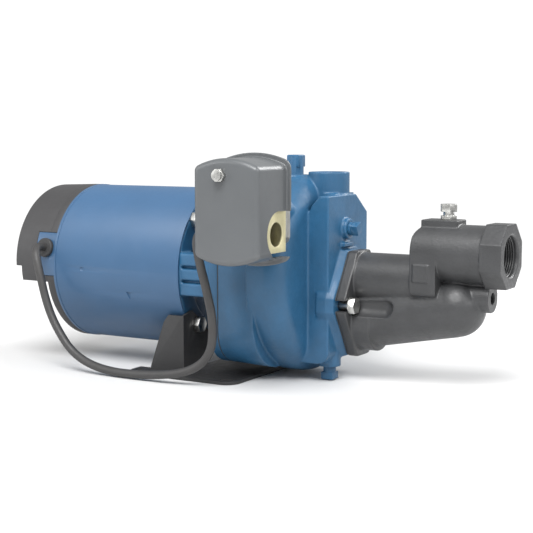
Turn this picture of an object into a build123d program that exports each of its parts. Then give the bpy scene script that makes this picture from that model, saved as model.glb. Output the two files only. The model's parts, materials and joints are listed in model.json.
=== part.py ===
from build123d import *

import math
import os

# Shallow well jet pump: motor, adapter, pump body, jet casting and pressure switch.
# Millimetres. +X runs along the shaft from the motor to the suction port, -Y is the
# switch side, +Z is up. The origin is the centre of the four foot slots, on the floor.

# ---------------------------------------------------------------- driving dimensions
AXIS_Z = 101.6            # shaft height above the floor
MOTOR_R = 82.5            # outside of the motor shell
SHELL_WALL = 1.9
SHELL_REAR = -165.0
SHELL_FRONT = -8.3
BELL_REAR = -174.0        # back of the ring that the shell butts against
CANOPY_REAR = -218.5
CANOPY_WALL = 2.4
BOLT_CIRCLE_R = 74.6      # 149 mm motor face bolt circle
SHAFT_R = 8.5             # bearing journals, 17 mm
STUB_R = 7.94             # pump end of the shaft, 5/8 in
CORE_REAR, CORE_FRONT = -120.0, -52.0
CORE_BORE_R = 44.0
AIR_GAP = 0.5

FACE_X = -16.0            # machined face of the front end bell
RING_X = -8.0             # front of the adapter's motor ring
PLATE_T = 3.2             # foot bracket steel
FLANGE_REAR, FLANGE_FRONT = 30.0, 39.6
GASKET_T = 0.8
BODY_REAR = FLANGE_FRONT + GASKET_T
STEP_X = 84.0             # where the square rear of the body meets the round volute
VOLUTE_R = 97.0
VOLUTE_FLAT_X = 97.0
BODY_SHOULDER_X = 115.0
SHOULDER_R = 76.4
BOX_FRONT_X = 137.5
BOX_HALF = 42.5
BOX_BOTTOM, BOX_TOP = 18.6, 181.6
PAD_X = 144.0             # machined face that the jet bolts to
DISCHARGE_X, DISCHARGE_TOP, DISCHARGE_R = 116.0, 202.5, 20.2
DISCHARGE_HOLE_R = 14.9   # 1 in pipe thread
PRIMING_X, PRIMING_TOP, PRIMING_R = 79.0, 199.0, 17.5
DRAIN_X, DRAIN_Y = 128.0, -20.0
GAUGE_Y, GAUGE_Z = -6.0, 148.0

JET_REAR = PAD_X + 1.0
JET_FLANGE_T = 10.0
JET_BOLT_Y, JET_BOLT_Z = 29.5, 76.1
BARREL_R, BARREL_Z = 25.0, 100.0
PORT_Z, PORT_BARREL_R, PORT_X = 127.9, 27.6, 303.5
PORT_HOLE_R = 19.0        # 1-1/4 in pipe thread
ELBOW_X = 231.0

FOOT_HALF_X, FOOT_HALF_Y = 63.0, 97.0
GUSSET_Y = 78.0
SLOT_X, SLOT_Y, SLOT_R, SLOT_LENGTH = 50.8, 87.0, 4.5, 14.0

SWITCH_X = 98.1
COVER_HALF_X = 33.5
COVER_REAR, COVER_FRONT = -112.0, -165.0
COVER_LOW, COVER_HIGH = 123.0, 218.5
COVER_CROWN = 8.0
COVER_WALL = 1.2
CONDUIT_Y, CONDUIT_Z, CONDUIT_R = -127.0, 150.0, 11.1
STUD_X, STUD_Z = 93.1, 203.5
PORT_SWITCH_Z = 166.0
PIVOT_Y, PIVOT_Z = -117.6, 137.0

CORD_D = 8.4
GROMMET_X = -176.5
GROMMET_TURN = -13.2      # degrees round the shaft from level to the grommet
CORD_ROUTE = [
    (-176.5, -82.3, 120.9),
    (-176.5, -91.5, 123.1),
    (-173.2, -100.0, 120.2),
    (-167.5, -106.0, 112.5),
    (-161.5, -108.0, 95.0),
    (-152.0, -109.5, 66.0),
    (-139.0, -111.0, 43.0),
    (-115.0, -113.0, 16.5),
    (-75.0, -115.5, 4.6),
    (-20.0, -116.5, 5.6),
    (26.0, -116.0, 12.5),
    (51.0, -115.0, 31.0),
    (53.5, -114.0, 63.0),
    (45.0, -114.0, 96.0),
    (38.5, -116.0, 122.0),
    (39.0, -122.0, 142.0),
    (50.0, -127.0, 150.0),
    (65.0, -127.0, 150.0),
]


# ---------------------------------------------------------------- shape helpers
def cyl_x(x0, x1, r, y=0.0, z=AXIS_Z):
    """Solid cylinder along X."""
    place = Plane(origin=(x0, y, z), x_dir=(0, 1, 0), z_dir=(1, 0, 0))
    return extrude(place * Circle(r), x1 - x0)


def cyl_y(y0, y1, r, x, z):
    """Solid cylinder along Y."""
    place = Plane(origin=(x, y0, z), x_dir=(1, 0, 0), z_dir=(0, 1, 0))
    return extrude(place * Circle(r), y1 - y0)


def cyl_z(z0, z1, r, x, y=0.0):
    """Solid cylinder along Z."""
    return extrude(Plane(origin=(x, y, z0)) * Circle(r), z1 - z0)


def cone_x(x0, r0, x1, r1, y=0.0, z=AXIS_Z):
    """Solid frustum along X."""
    profile = Polyline((x0, 0), (x0, r0), (x1, r1), (x1, 0), close=True)
    place = Plane(origin=(0, y, z), x_dir=(1, 0, 0), z_dir=(0, -1, 0))
    return revolve(place * make_face(profile), Axis((0, y, z), (1, 0, 0)), 360)


def block(x0, x1, y0, y1, z0, z1):
    """Box between two corners."""
    centre = ((x0 + x1) / 2, (y0 + y1) / 2, (z0 + z1) / 2)
    return Pos(*centre) * Box(abs(x1 - x0), abs(y1 - y0), abs(z1 - z0))


def ring_x(x0, x1, r_out, r_in, y=0.0, z=AXIS_Z):
    """Tube along X."""
    return cyl_x(x0, x1, r_out, y, z) - cyl_x(x0 - 1, x1 + 1, r_in, y, z)


def ring_y(y0, y1, r_out, r_in, x, z):
    """Tube along Y."""
    return cyl_y(y0, y1, r_out, x, z) - cyl_y(y0 - 1, y1 + 1, r_in, x, z)


def hex_x(x0, x1, across, y, z):
    """Hexagonal bar along X."""
    place = Plane(origin=(x0, y, z), x_dir=(0, 1, 0), z_dir=(1, 0, 0))
    return extrude(place * RegularPolygon(across / math.sqrt(3), 6), x1 - x0)


def hex_y(y0, y1, across, x, z):
    """Hexagonal bar along Y."""
    place = Plane(origin=(x, y0, z), x_dir=(1, 0, 0), z_dir=(0, 1, 0))
    return extrude(place * RegularPolygon(across / math.sqrt(3), 6), y1 - y0)


def hex_z(z0, z1, across, x, y):
    """Hexagonal bar along Z."""
    base = Plane(origin=(x, y, z0)) * RegularPolygon(across / math.sqrt(3), 6)
    return extrude(base, z1 - z0)


def at_grommet(shape):
    """Turn a shape from the level of the shaft up to the grommet's seat."""
    return shape.rotate(Axis((0, 0, AXIS_Z), (1, 0, 0)), GROMMET_TURN)


def around(radius, angles):
    """Points (y, z) on a circle about the shaft axis."""
    return [
        (radius * math.cos(math.radians(a)), AXIS_Z + radius * math.sin(math.radians(a)))
        for a in angles
    ]


def save(name, shape):
    """Write one sub-part as its own STEP file."""
    solids = shape.solids() if hasattr(shape, "solids") else shape
    part = solids[0] if len(solids) == 1 else Compound(children=list(solids))
    part.label = name
    export_step(part, f"parts/{name}.step")


FACE_BOLTS = around(BOLT_CIRCLE_R, (45, 135, 225, 315))
THROUGH_BOLTS = around(74.0, (20, 110, 200, 290))


# ---------------------------------------------------------------- motor
def motor_shell():
    """Rolled steel tube with a flat tab at its rear for the cord grommet."""
    shell = ring_x(SHELL_REAR, SHELL_FRONT, MOTOR_R, MOTOR_R - SHELL_WALL)
    bead = ring_x(SHELL_REAR, SHELL_REAR + 3, MOTOR_R + 0.6, MOTOR_R - 0.5)
    tab = ring_x(-189, SHELL_REAR + 2, MOTOR_R, MOTOR_R - SHELL_WALL)
    tab &= block(-189, SHELL_REAR + 2, -95, -60, 91.5, 136)
    hole = at_grommet(cyl_y(-90, -70, 8.0, GROMMET_X, AXIS_Z))
    shell -= Pos(-127.8, -84.0, 100.7) * Sphere(2.7)
    notch = Plane(origin=(0, -84, AXIS_Z), x_dir=(1, 0, 0), z_dir=(0, -1, 0)) * make_face(
        Polyline((-73.4, 4), (-67.2, 4), (-70.3, -4), close=True))
    notch = extrude(notch, -2.5).rotate(Axis((0, 0, AXIS_Z), (1, 0, 0)), 17.9)
    return (shell - notch) + bead + (tab - hole)


def rear_end_bell():
    """Cast end shield behind the shell, with the rear bearing pocket."""
    rim = ring_x(BELL_REAR, SHELL_REAR, MOTOR_R + 0.5, 71)
    spigot = ring_x(SHELL_REAR, SHELL_REAR + 8, MOTOR_R - SHELL_WALL - 0.1, 71)
    disc = cyl_x(BELL_REAR, BELL_REAR + 5, 72)
    hub = cyl_x(BELL_REAR - 8, BELL_REAR + 14, 26)
    bell = rim + spigot + disc + hub
    for i in range(4):
        angle = 205 + i * 43
        window = block(BELL_REAR - 1, BELL_REAR + 6, 36, 60, AXIS_Z - 12, AXIS_Z + 12)
        bell -= window.rotate(Axis((0, 0, AXIS_Z), (1, 0, 0)), angle)
    bell -= cyl_x(BELL_REAR + 1, BELL_REAR + 15, 20.05)
    bell -= cyl_x(BELL_REAR - 9, BELL_REAR + 2, 10)
    for y, z in THROUGH_BOLTS:
        bell -= cyl_x(BELL_REAR - 1, SHELL_REAR + 9, 2.7, y, z)
    for y in (-50, 50):
        bell -= cyl_x(BELL_REAR - 1, SHELL_REAR, 2.5, y, 140)
    flat = ring_x(-190, SHELL_REAR, MOTOR_R + 5, MOTOR_R - SHELL_WALL - 0.2)
    flat &= block(-190, SHELL_REAR, -95, -60, 91, 136.5)
    return bell - flat - at_grommet(cyl_y(-90, -73, 11.5, GROMMET_X, AXIS_Z))


def front_end_bell():
    """Front end shield inside the shell, with the machined face for the adapter."""
    outer_r = MOTOR_R - SHELL_WALL - 0.1
    bell = cyl_x(FACE_X - 6, FACE_X, outer_r) + ring_x(FACE_X - 16, FACE_X - 6, outer_r, 68)
    bell += cyl_x(FACE_X - 18, FACE_X - 6, 27)
    bell -= cyl_x(FACE_X - 19, FACE_X - 4, 20.05)
    bell -= cyl_x(FACE_X - 20, FACE_X + 1, 10)
    for i in range(4):
        window = block(FACE_X - 7, FACE_X + 1, 34, 58, AXIS_Z - 13, AXIS_Z + 13)
        bell -= window.rotate(Axis((0, 0, AXIS_Z), (1, 0, 0)), i * 90)
    for y, z in FACE_BOLTS:
        bell -= cyl_x(FACE_X - 17, FACE_X + 1, 4.85, y, z)
    for y, z in THROUGH_BOLTS:
        bell -= cyl_x(FACE_X - 17, FACE_X + 1, 2.7, y, z)
    return bell


def stator_core():
    """Laminated core with through bolt notches."""
    core = ring_x(CORE_REAR, CORE_FRONT, MOTOR_R - SHELL_WALL - 0.1, CORE_BORE_R)
    for y, z in THROUGH_BOLTS:
        core -= cyl_x(CORE_REAR - 1, CORE_FRONT + 1, 4.5, y, z)
    for i in range(24):
        slot = block(CORE_REAR - 1, CORE_FRONT + 1, CORE_BORE_R + 3, CORE_BORE_R + 19,
                     AXIS_Z - 2, AXIS_Z + 2)
        core -= slot.rotate(Axis((0, 0, AXIS_Z), (1, 0, 0)), i * 15)
    return core


def stator_windings():
    """Copper end turns at both ends of the core."""
    turns = []
    for x0, x1 in ((CORE_REAR - 19, CORE_REAR), (CORE_FRONT, CORE_FRONT + 19)):
        coil = ring_x(x0, x1, 66, 49)
        turns.append(fillet(coil.edges().filter_by(GeomType.CIRCLE), 5))
    return turns[0] + turns[1]


def rotor_core():
    """Squirrel cage rotor with cast end rings."""
    core = cyl_x(CORE_REAR, CORE_FRONT, CORE_BORE_R - AIR_GAP)
    core += cyl_x(CORE_REAR - 9, CORE_FRONT + 9, 38)
    return core - cyl_x(CORE_REAR - 20, CORE_FRONT + 20, 12.5)


def motor_shaft():
    """Stepped shaft from the rear bearing to the impeller."""
    shaft = cyl_x(-202, CORE_REAR - 8, SHAFT_R)
    shaft += cyl_x(CORE_REAR - 10, CORE_FRONT + 10, 12.5)
    shaft += cyl_x(CORE_FRONT + 9, FACE_X - 2, SHAFT_R)
    return shaft + cyl_x(FACE_X - 3, 82, STUB_R)


def bearing(x0):
    """Ball bearing, 17 x 40 x 12."""
    race = ring_x(x0, x0 + 12, 20.0, SHAFT_R + 0.04)
    for end in (x0, x0 + 10.8):
        race -= ring_x(end - 0.01, end + 1.21, 16.6, 12.4)
    return race


def cooling_fan():
    """Internal fan on the rear of the shaft."""
    fan = ring_x(-145, -132, 14, SHAFT_R) + ring_x(-145, -143, 44, 13)
    for i in range(9):
        blade = block(-144, -132, 13, 44, AXIS_Z - 1, AXIS_Z + 1)
        fan += blade.rotate(Axis((0, 0, AXIS_Z), (1, 0, 0)), i * 40)
    return fan


def governor():
    """Centrifugal starting governor between the rear bearing and the fan."""
    plate = ring_x(-150, -147, 24, SHAFT_R) + ring_x(-158, -147, 13, SHAFT_R)
    plate += ring_x(-157, -155, 20, 12)
    for y, z in around(18, (0, 180)):
        plate += block(-154, -147, y - 4, y + 4, z - 8, z + 8)
    return plate


def starting_switch():
    """Fixed contact plate of the starting switch."""
    plate = block(-206, -203.5, -26, 26, 89, 98)
    plate += block(-204, BELL_REAR - 8, 20, 24, 90, 96) + block(-204, BELL_REAR - 8, -24, -20, 90, 96)
    return plate


def start_capacitor():
    """Starting capacitor lying across the top of the end bell."""
    can = cyl_y(-34, 34, 16.5, -195.5, 154)
    studs = cyl_y(34, 39, 3, -201, 158) + cyl_y(34, 39, 3, -190, 150)
    return can + studs


def capacitor_strap():
    """Steel strap holding the capacitor to the end bell."""
    strap = ring_y(-8, 8, 18.0, 16.6, -195.5, 154)
    strap += block(-178.5, BELL_REAR, -8, 8, 132, 134)
    return strap + block(-178.9, -177.4, -8, 8, 132, 154)


def terminal_board():
    """Line terminal board behind the cord grommet."""
    board = block(BELL_REAR - 5, BELL_REAR, -64, -30, 104, 134)
    for z in (109, 119, 129):
        board += cyl_x(BELL_REAR - 9, BELL_REAR - 4, 3, -36, z)
    return board


def rear_canopy():
    """Half-round cover behind the motor, closed at the rear and below."""
    outer = cone_x(CANOPY_REAR, MOTOR_R - 1.0, BELL_REAR, MOTOR_R + 0.5)
    inner = cone_x(CANOPY_REAR + CANOPY_WALL, MOTOR_R - 1.0 - CANOPY_WALL,
                   BELL_REAR + 1, MOTOR_R + 0.5 - CANOPY_WALL)
    keep = block(-225, BELL_REAR, -95, 95, 84.5, 200) - block(-225, -209, -95, 95, 84, 99.8)
    rear_edge = outer.edges().filter_by(GeomType.CIRCLE).sort_by(Axis.X)[0]
    shell = fillet(rear_edge, 4) & keep
    hollow = inner & block(-225, BELL_REAR + 2, -95, 95, 102.2, 200)
    lower_room = block(-206.6, BELL_REAR + 2, -70, 70, 87, 103)
    shell = shell - hollow - lower_room
    notch = ring_x(-189.5, BELL_REAR + 2, MOTOR_R + 5, MOTOR_R - SHELL_WALL - 0.4)
    shell -= notch & block(-189.5, BELL_REAR + 2, -95, -55, 91, 136.6)
    shell -= cyl_x(BELL_REAR - 9, BELL_REAR + 1, 27.5)
    for y in (-50, 50):
        shell -= cyl_x(CANOPY_REAR - 1, CANOPY_REAR + 5, 2.2, y, 140)
    return shell - at_grommet(cyl_y(-95, -60, 11.5, GROMMET_X, AXIS_Z))


def screw_x(x_head, x_tip, head_r, head_t, shank_r, y, z):
    """Slotted pan head screw along X, head towards the rear."""
    head = cyl_x(x_head, x_head + head_t, head_r, y, z)
    slot = block(x_head - 1, x_head + 1, y - head_r, y + head_r, z - 0.5, z + 0.5)
    return head - slot + cyl_x(x_head + head_t - 0.1, x_tip, shank_r, y, z)


def canopy_screws():
    """Two long screws through the canopy into the end bell."""
    return [screw_x(CANOPY_REAR - 2.6, BELL_REAR + 3, 4.6, 2.6, 2.2, y, 140) for y in (-50, 50)]


def through_bolts():
    """Four long bolts that clamp the end bells to the shell."""
    bolts = []
    for y, z in THROUGH_BOLTS:
        rod = cyl_x(BELL_REAR, FACE_X - 1, 2.5, y, z)
        bolts.append(rod + hex_x(BELL_REAR - 3.5, BELL_REAR, 8, y, z))
    return bolts


def cord_grommet():
    """Rubber grommet where the lead leaves the motor tab."""
    flange = cyl_y(-86.5, -82.6, 10, GROMMET_X, AXIS_Z)
    inside = cyl_y(-80, -77, 10, GROMMET_X, AXIS_Z)
    grommet = fillet(flange.edges().filter_by(GeomType.CIRCLE).sort_by(Axis.Y)[0], 1.5)
    grommet += inside + cyl_y(-83, -79, 7.9, GROMMET_X, AXIS_Z)
    return at_grommet(grommet - cyl_y(-95, -70, CORD_D / 2, GROMMET_X, AXIS_Z))


# ---------------------------------------------------------------- adapter and foot
def square_face(x, half_y, low, high, corner):
    """Rounded square outline in the YZ plane."""
    place = Plane(origin=(x, 0, (low + high) / 2), x_dir=(0, 1, 0), z_dir=(1, 0, 0))
    return place * RectangleRounded(2 * half_y, high - low, corner)


FLANGE_BOLTS = [(-66, 34), (66, 34), (-66, 168), (66, 168)]


def motor_adapter():
    """Cast bracket between the motor face and the pump body."""
    ring = ring_x(FACE_X, RING_X, MOTOR_R - SHELL_WALL - 0.8, 58)
    flange = extrude(square_face(FLANGE_REAR, 86, 15.6, 187.6, 34), FLANGE_FRONT - FLANGE_REAR)
    hub = cyl_x(8, FLANGE_REAR, 24) + cone_x(16, 24, FLANGE_REAR, 40)
    casting = ring + flange + hub
    for side in (-1, 1):
        web = block(RING_X - 0.2, FLANGE_REAR, side * 60, side * 79, AXIS_Z - 21, AXIS_Z + 21)
        for z in (AXIS_Z - 7, AXIS_Z + 7):
            web -= block(RING_X + 1, FLANGE_REAR - 9, side * 74, side * 80, z - 1.6, z + 1.6)
        casting += web
    casting += block(RING_X - 0.2, FLANGE_REAR, -9, 9, 162, 178)
    for y, z in FACE_BOLTS:
        casting -= cyl_x(FACE_X - 1, RING_X + 1, 4.9, y, z)
    for y, z in FLANGE_BOLTS:
        casting -= cyl_x(FLANGE_REAR - 1, FLANGE_FRONT + 1, 4.1, y, z)
    casting -= cyl_x(0, FLANGE_FRONT + 1, 9.5)
    return casting - cyl_x(33, FLANGE_FRONT + 1, 15.1)


def adapter_bolts():
    """Hex bolts on the motor face; the lower pair also holds the foot."""
    bolts = []
    for y, z in FACE_BOLTS:
        seat = RING_X if z > AXIS_Z else RING_X + PLATE_T
        head = hex_x(seat, seat + 6.2, 14.3, y, z)
        bolts.append(head + cyl_x(FACE_X - 14, seat, 4.75, y, z))
    return bolts


def foot_outline():
    """Base plate with four bolt slots."""
    plate = extrude(RectangleRounded(2 * FOOT_HALF_X, 2 * FOOT_HALF_Y, 14), PLATE_T)
    for x in (-SLOT_X, SLOT_X):
        for y in (-SLOT_Y, SLOT_Y):
            slot = SlotOverall(SLOT_LENGTH, 2 * SLOT_R)
            plate -= extrude(Plane(origin=(x, y, -1)) * slot, PLATE_T + 2)
    return plate


def foot_bracket():
    """Stamped steel foot: base, side gussets and the plate under the motor face."""
    foot = foot_outline()
    foot -= block(-FOOT_HALF_X - 1, -14, -70, 70, -1, PLATE_T + 1)
    top = 60.0
    face = Plane(origin=(RING_X, 0, 0), x_dir=(0, 1, 0), z_dir=(1, 0, 0))
    outline = Polyline((-GUSSET_Y, 0), (GUSSET_Y, 0), (GUSSET_Y, top), (62, top + 4), (47, 53),
                       (30, 38), (-30, 38), (-47, 53), (-62, top + 4), (-GUSSET_Y, top),
                       close=True)
    wall = extrude(face * make_face(outline), PLATE_T)
    arch = make_face(Polyline((-46, PLATE_T), (46, PLATE_T), (34, 26), (-34, 26), close=True))
    wall -= extrude(face * arch, PLATE_T + 1) + extrude(face * arch, -1)
    for y, z in FACE_BOLTS[2:]:
        wall -= cyl_x(RING_X - 1, RING_X + PLATE_T + 1, 4.9, y, z)
    front = RING_X + PLATE_T
    side = Polyline((-47, 0), (front, 0), (front, top), (-23, top), (-28.5, top - 7), close=True)
    foot += wall
    for y in (-GUSSET_Y + PLATE_T, GUSSET_Y):
        place = Plane(origin=(0, y, 0), x_dir=(1, 0, 0), z_dir=(0, -1, 0))
        foot += extrude(place * make_face(side), PLATE_T)
    return foot


# ---------------------------------------------------------------- shaft seal and wet end
def slinger():
    """Rubber disc that throws water off the shaft."""
    return ring_x(-3, 1, 15, STUB_R) + ring_x(-6, -3, 11, STUB_R)


def seal_seat():
    """Fixed ceramic seat pressed into the adapter."""
    return ring_x(33.2, FLANGE_FRONT, 15.0, 9.0)


def seal_head():
    """Rotating carbon head and bellows of the shaft seal."""
    return ring_x(FLANGE_FRONT + 0.1, 45, 13.0, STUB_R) + ring_x(45, 52, 11.0, STUB_R)


def seal_spring():
    """Coil spring behind the seal head."""
    coils = []
    for i in range(4):
        centre = Plane(origin=(0, 0, 0))
        ring = Torus(12.9, 0.9)
        place = Plane(origin=(47 + 2.2 * i, 0, AXIS_Z), x_dir=(0, 1, 0), z_dir=(1, 0, 0))
        coils.append(place * ring)
    spring = coils[0]
    for coil in coils[1:]:
        spring += coil
    for i in range(3):
        y = 12.9 if i % 2 == 0 else -12.9
        spring += cyl_x(47 + 2.2 * i, 49.2 + 2.2 * i, 0.8, y)
    return spring


def impeller():
    """Closed impeller with curved vanes, eye towards the jet."""
    hub = ring_x(56, 80, 13, STUB_R)
    back = ring_x(60, 63, 57, 12)
    front = ring_x(72, 75, 57, 21)
    wheel = hub + back + front + ring_x(75, 84, 23, 19)
    for i in range(6):
        arc = ThreePointArc((13, 0), (35, 14), (55, 6))
        rib = Plane(origin=(62.5, 0, AXIS_Z), x_dir=(0, 1, 0), z_dir=(1, 0, 0)) * make_face(
            Polyline((12, -1.2), (32, 12), (55, 5), (55, 8), (32, 15), (12, 1.8), close=True))
        vane = extrude(rib, 10)
        wheel += vane.rotate(Axis((0, 0, AXIS_Z), (1, 0, 0)), i * 60)
    return wheel - cyl_x(50, 90, STUB_R)


def diffuser():
    """Fixed diffuser cup round the impeller, with the venturi socket."""
    cup = ring_x(56, 90, 70, 60.5)
    front = ring_x(86, 90, 70, 23.6)
    socket = ring_x(86, 104, 27, 23.6)
    body = cup + front + socket
    for i in range(8):
        port = block(60, 74, 58, 72, AXIS_Z - 6, AXIS_Z + 6)
        body -= port.rotate(Axis((0, 0, AXIS_Z), (1, 0, 0)), i * 45 + 20)
    for y, z in around(65, (0, 90, 180, 270)):
        body += cyl_x(BODY_REAR + 0.2, 57, 4.5, y, z)
        body -= cyl_x(BODY_REAR - 1, 92, 2.1, y, z)
    return body


def diffuser_screws():
    """Screws through the diffuser into the adapter."""
    screws = []
    for y, z in around(65, (0, 90, 180, 270)):
        screws.append(cyl_x(FLANGE_FRONT + 0.1, 90, 2.0, y, z) + cyl_x(90, 93, 4, y, z))
    return screws


def volute():
    """Turned part of the body: straight drum, round shoulder, flat front."""
    profile = make_face(
        Polyline((STEP_X - 6, 0), (STEP_X - 6, VOLUTE_R), (VOLUTE_FLAT_X, VOLUTE_R))
        + ThreePointArc((VOLUTE_FLAT_X, VOLUTE_R), (109.7, 91.0), (BODY_SHOULDER_X, SHOULDER_R))
        + Polyline((BODY_SHOULDER_X, SHOULDER_R), (BODY_SHOULDER_X, 0), (STEP_X - 6, 0)))
    place = Plane(origin=(0, 0, AXIS_Z), x_dir=(1, 0, 0), z_dir=(0, -1, 0))
    return revolve(place * profile, Axis((0, 0, AXIS_Z), (1, 0, 0)), 360)


def body_box():
    """Square front of the body with its top rear corners rounded off."""
    box = block(BODY_SHOULDER_X - 12, BOX_FRONT_X, -BOX_HALF, BOX_HALF, BOX_BOTTOM, BOX_TOP - 1)
    low = box.edges().filter_by(Axis.Y).sort_by(Axis.Z)[:2]
    box = fillet(low.sort_by(Axis.X)[-1:], 12)
    wedge = Plane(origin=(0, -60, 0), x_dir=(1, 0, 0), z_dir=(0, -1, 0)) * make_face(
        Polyline((95, 155), (112, 155), (119, 171), (128, 181), (128, 200), (95, 200), close=True))
    box -= extrude(wedge, -120)
    far = Plane(origin=(95, 0, 0), x_dir=(0, 1, 0), z_dir=(1, 0, 0)) * make_face(
        Polyline((15, 182), (44, 161), (44, 190), (15, 190), close=True))
    return box - extrude(far, 50)


def diamond_face(x, half_y, low, high, flat):
    """Diamond outline with flat top and bottom, square to the shaft."""
    tip = JET_BOLT_Z
    place = Plane(origin=(x, 0, 0), x_dir=(0, 1, 0), z_dir=(1, 0, 0))
    outline = Polyline((-half_y, tip - 7), (-half_y, tip + 7), (-flat, high), (flat, high),
                       (half_y, tip + 7), (half_y, tip - 7), (flat, low), (-flat, low),
                       close=True)
    return place * make_face(outline)


def diamond(x, half_y, low, high, flat, thickness):
    """Diamond slab with rounded corners, extruded along +X."""
    slab = extrude(diamond_face(x, half_y, low, high, flat), thickness)
    return fillet(slab.edges().filter_by(Axis.X), 6)


def pump_body():
    """Cast pump body with its ports, bosses and jet pad."""
    rear = loft([square_face(BODY_REAR, 86, 15.6, 187.6, 34),
                 square_face(STEP_X, 93.5, 12.5, 190.5, 50)])
    body = rear + volute() + body_box()
    body += block(64, 133, -20, 20, 150, BOX_TOP + 0.4)
    body += cyl_z(150, DISCHARGE_TOP, DISCHARGE_R, DISCHARGE_X)
    body += cyl_z(150, PRIMING_TOP, PRIMING_R, PRIMING_X)
    body += diamond(BOX_FRONT_X - 12, 46, 22, 128.5, 21, 10.5)
    body += loft([diamond_face(BOX_FRONT_X - 1.5, 46, 22, 128.5, 21),
                  diamond_face(PAD_X, 44, 24.5, 126.5, 11)])
    body += cyl_x(BOX_FRONT_X - 5, BOX_FRONT_X + 5, 10, GAUGE_Y, GAUGE_Z)
    body += block(BOX_FRONT_X - 3, BOX_FRONT_X + 4.5, GAUGE_Y - 11, GAUGE_Y + 9, 130.5, 134.5)
    body += cyl_z(14, 30, 11, DRAIN_X, DRAIN_Y)
    body += cyl_y(-86, -60, 13, SWITCH_X, PORT_SWITCH_Z)
    return body - body_cavities()


def body_cavities():
    """Everything that is hollow inside the body casting."""
    room = cyl_x(BODY_REAR - 1, 107, 78)
    room += block(104, 130, -34, 34, 30, 168)
    room += cyl_x(125, PAD_X + 1, 17.5, 0, AXIS_Z)
    room += cyl_x(125, PAD_X + 1, 13, 0, 56)
    room += cyl_z(160, DISCHARGE_TOP + 1, DISCHARGE_HOLE_R, DISCHARGE_X)
    room += cyl_z(160, PRIMING_TOP + 1, 9.0, PRIMING_X)
    room += cyl_z(10, 34, 5.6, DRAIN_X, DRAIN_Y)
    room += cyl_y(-87, -50, 6.9, SWITCH_X, PORT_SWITCH_Z)
    room += cyl_x(125, BOX_FRONT_X + 6, 5.6, GAUGE_Y, GAUGE_Z)
    for y, z in FLANGE_BOLTS:
        room += cyl_x(BODY_REAR - 1, 62, 4.1, y, z)
    for y in (-JET_BOLT_Y, JET_BOLT_Y):
        room += cyl_x(120, PAD_X + 1, 4.85, y, JET_BOLT_Z)
    return room


def body_gasket():
    """Gasket between adapter and body."""
    sheet = extrude(square_face(FLANGE_FRONT, 85.6, 16, 187.2, 33.6), GASKET_T)
    sheet -= cyl_x(FLANGE_FRONT - 1, BODY_REAR + 1, 78.5)
    for y, z in FLANGE_BOLTS:
        sheet -= cyl_x(FLANGE_FRONT - 1, BODY_REAR + 1, 4.2, y, z)
    return sheet


def body_bolts():
    """Four bolts from the adapter flange into the body."""
    bolts = []
    for y, z in FLANGE_BOLTS:
        head = hex_x(FLANGE_REAR - 5.5, FLANGE_REAR, 12.7, y, z)
        bolts.append(head + cyl_x(FLANGE_REAR - 0.1, 60, 3.95, y, z))
    return bolts


def square_plug(x, y, z_low, z_seat, z_top, thread_r, neck_r, side):
    """Pipe plug with a square head, standing up."""
    plug = cyl_z(z_low, z_seat, thread_r, x, y) + cyl_z(z_seat, z_top - 1, neck_r, x, y)
    head = block(x - side / 2, x + side / 2, y - side / 2, y + side / 2, z_top - 11.8, z_top)
    return plug + chamfer(head.edges().group_by(Axis.Z)[-1], 0.8)


def priming_plug():
    """Square head plug that closes the priming port."""
    return square_plug(PRIMING_X, 0, 184, PRIMING_TOP, 218.8, 8.95, 7.6, 13.4)


def drain_plug():
    """Small square head plug under the body."""
    plug = cyl_z(14.2, 30, 5.5, DRAIN_X, DRAIN_Y) + cyl_z(5, 13.9, 6.2, DRAIN_X, DRAIN_Y)
    plug += cyl_z(13.8, 14.3, 5.5, DRAIN_X, DRAIN_Y)
    half = 6.2
    head = block(DRAIN_X - half, DRAIN_X + half, DRAIN_Y - half, DRAIN_Y + half, 0.9, 8)
    return plug + chamfer(head.edges().group_by(Axis.Z)[0], 0.6)


def gauge_plug():
    """Square head plug in the front gauge port."""
    seat = BOX_FRONT_X + 5
    plug = cyl_x(130, seat, 5.5, GAUGE_Y, GAUGE_Z) + cyl_x(seat, seat + 3, 6.4, GAUGE_Y, GAUGE_Z)
    head = block(seat + 2.9, seat + 10, GAUGE_Y - 5, GAUGE_Y + 5, GAUGE_Z - 5, GAUGE_Z + 5)
    return plug + head.rotate(Axis((0, GAUGE_Y, GAUGE_Z), (1, 0, 0)), 25)


# ---------------------------------------------------------------- jet
def lower_barrel():
    """Tapered drive passage under the suction barrel, with its round end."""
    casing = cone_x(JET_REAR, 28.5, 252, 27, 0, 58)
    tilt = math.degrees(math.atan2(18.5, 252 - JET_REAR))
    casing = casing.rotate(Axis((JET_REAR, 0, 58), (0, 1, 0)), -tilt)
    casing += Pos(252, 0, 76.8) * Sphere(27)
    casing += cyl_x(JET_REAR, 173, 29.0, 0, 58.6)
    return casing & block(JET_REAR, 300, -40, 40, 20, 140)


def elbow_block():
    """Flat sided turn of the suction passage, rounded over the top."""
    place = Plane(origin=(214, 0, 0), x_dir=(0, 1, 0), z_dir=(1, 0, 0))
    radius = PORT_BARREL_R
    arch = extrude(place * Pos(0, PORT_Z) * Circle(radius), 26)
    arch += fillet(block(214, 240, -radius, radius, 87.5, PORT_Z).edges()
                   .filter_by(Axis.X).sort_by(Axis.Z)[:2], 7)
    top = PORT_Z + radius + 1
    side = block(214, 262, -40, 40, 87.5, top)
    side = fillet(side.edges().filter_by(Axis.Y).sort_by(Axis.X)[:2].sort_by(Axis.Z)[-1:], 15)
    side = fillet(side.edges().filter_by(Axis.Y).sort_by(Axis.Z)[:1], 5)
    return arch & side


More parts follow.
